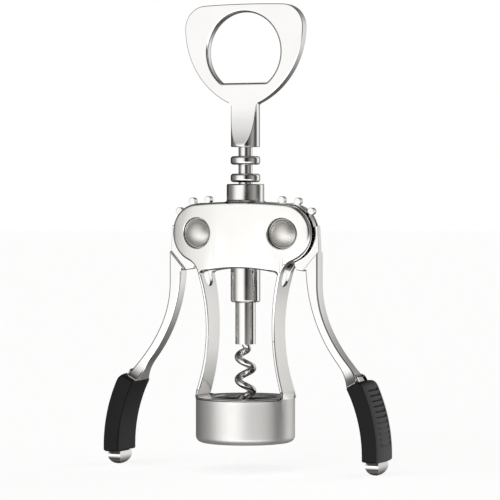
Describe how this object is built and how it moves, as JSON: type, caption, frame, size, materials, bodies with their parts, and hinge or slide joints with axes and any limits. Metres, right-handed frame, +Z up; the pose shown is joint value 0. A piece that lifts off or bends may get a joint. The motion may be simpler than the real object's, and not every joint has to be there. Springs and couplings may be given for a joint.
{
  "type": "lever corkscrew",
  "caption": "Winged corkscrew with a bell and legs, geared side levers with rubber grips, ringed rack, worm, and a handle that opens crown caps.",
  "frame": {"origin": "centre of the bell's lower face, where the bottle bore's axis leaves the bell", "axes": "+X to the right lever, +Y to the back, +Z up along the bore, the rack and the worm; the levers hang down and the rack is raised"},
  "size_m": [0.1206, 0.0392, 0.184],
  "materials": {
    "satin_chrome": "satin chrome plating on die-cast zinc",
    "polished_chrome": "bright chrome plating, polished",
    "rivet_steel": "fine brushed steel, domed",
    "worm_steel": "bright drawn steel wire",
    "black_rubber": "matt black moulded rubber, ribbed",
    "black_plastic": "matt black moulded plastic"
  },
  "bodies": {
    "frame": {"frame_casting": "satin_chrome", "bottle_insert": "black_plastic", "pivot_rivet_left": "rivet_steel", "pivot_rivet_right": "rivet_steel", "rivet_cap_left": "rivet_steel", "rivet_cap_right": "rivet_steel"},
    "rack": {"rack_stem": "polished_chrome"},
    "handle": {"opener_handle": "polished_chrome", "spindle": "worm_steel", "worm_collar": "polished_chrome", "worm": "worm_steel"},
    "left_lever": {"lever_left": "polished_chrome", "grip_left": "black_rubber", "lever_tip_left": "polished_chrome"},
    "right_lever": {"lever_right": "polished_chrome", "grip_right": "black_rubber", "lever_tip_right": "polished_chrome"}
  },
  "joints": [
    {"name": "stem_slide", "type": "slide", "parent": "frame", "child": "rack", "axis": [0, 0, -1], "range_m": [0, 0.0311]},
    {"name": "worm_turn", "type": "hinge", "parent": "rack", "child": "handle", "pos_m": [0, 0, 0.1], "axis": [0, 0, 1], "continuous": true},
    {"name": "lever_left_swing", "type": "hinge", "parent": "frame", "child": "left_lever", "pos_m": [-0.0184, 0, 0.0826], "axis": [0, 1, 0], "range_deg": [0, 135]},
    {"name": "lever_right_swing", "type": "hinge", "parent": "frame", "child": "right_lever", "pos_m": [0.0184, 0, 0.0826], "axis": [0, -1, 0], "range_deg": [0, 135]}
  ],
  "couplings": [
    {"joint": "lever_left_swing", "follows": "stem_slide", "rad_per_m": 75.757},
    {"joint": "lever_right_swing", "follows": "stem_slide", "rad_per_m": 75.757}
  ]
}
